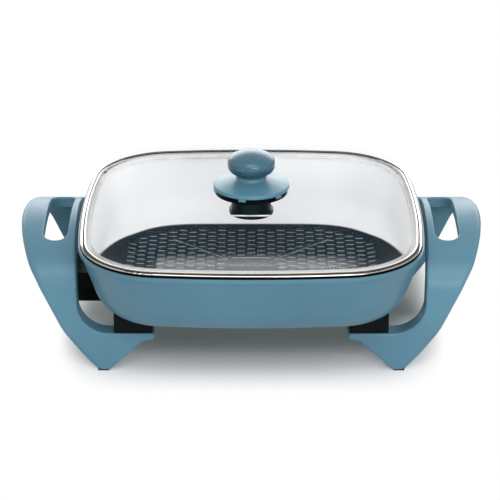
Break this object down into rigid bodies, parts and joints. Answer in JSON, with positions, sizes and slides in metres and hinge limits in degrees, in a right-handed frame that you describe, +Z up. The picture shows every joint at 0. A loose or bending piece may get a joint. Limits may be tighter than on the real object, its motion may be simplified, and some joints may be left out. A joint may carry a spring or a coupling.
{
  "type": "electric skillet",
  "caption": "Square electric skillet: cast pan on two arched handles with legs, domed glass lid with vented knob, plug-in heat control with dial.",
  "frame": {"origin": "on the table, under the middle of the skillet's footprint box", "axes": "+X along the two handles to the right as seen from the front, -Y towards the front, +Z up"},
  "size_m": [0.4126, 0.3076, 0.1758],
  "materials": {
    "blue_enamel": "satin grey-blue baked paint outside, black non-stick inside",
    "blue_moulding": "satin grey-blue moulded plastic",
    "black_plastic": "fine matt black moulded plastic",
    "dial_black": "satin black with pale printed numbers",
    "stainless": "bright rolled stainless band",
    "steel": "plain machined steel",
    "guard_steel": "plain pressed sheet",
    "clear_glass": "clear tempered glass",
    "brass": "plain turned brass",
    "ceramic": "unglazed white ceramic",
    "rubber": "matt black rubber",
    "silicone": "black silicone",
    "amber": "amber moulded lens",
    "lamp_glass": "small neon lamp"
  },
  "bodies": {
    "cooker": {"pan": "blue_enamel", "heating_element": "steel", "terminal_pins": "steel", "terminal_bushes": "ceramic", "probe_guard": "guard_steel", "guard_screws": "steel", "left_handle": "blue_moulding", "right_handle": "blue_moulding", "foot_pads": "rubber", "leg_screws": "steel", "left_front_spacer": "black_plastic", "left_rear_spacer": "black_plastic", "right_front_spacer": "black_plastic", "right_rear_spacer": "black_plastic"},
    "lid": {"lid_band": "stainless", "glass_lid": "clear_glass", "lid_washers": "silicone", "vent_base": "black_plastic", "lid_seat": "black_plastic"},
    "knob": {"knob_skirt": "blue_moulding", "knob_grip": "blue_moulding", "knob_cap": "blue_moulding", "knob_insert": "brass", "knob_screw": "steel"},
    "control": {"lower_case": "black_plastic", "upper_case": "black_plastic", "contact_block": "black_plastic", "contact_sockets": "brass", "probe_rod": "steel", "thermostat": "ceramic", "cord_gland": "rubber", "case_screws": "steel", "indicator_lens": "amber", "indicator_lamp": "lamp_glass"},
    "dial": {"temperature_dial": "dial_black"}
  },
  "joints": [
    {"name": "lid_lift", "type": "slide", "parent": "cooker", "child": "lid", "axis": [0, 0, 1], "range_m": [0, 0.15]},
    {"name": "vent_turn", "type": "hinge", "parent": "lid", "child": "knob", "pos_m": [0, 0, 0.1422], "axis": [0, 0, 1], "range_deg": [0, 30]},
    {"name": "control_slide", "type": "slide", "parent": "cooker", "child": "control", "axis": [-1, 0, 0], "range_m": [0, 0.09]},
    {"name": "dial_turn", "type": "hinge", "parent": "control", "child": "dial", "pos_m": [-0.174, 0, 0.068], "axis": [0, 0, -1], "range_deg": [0, 270]}
  ]
}
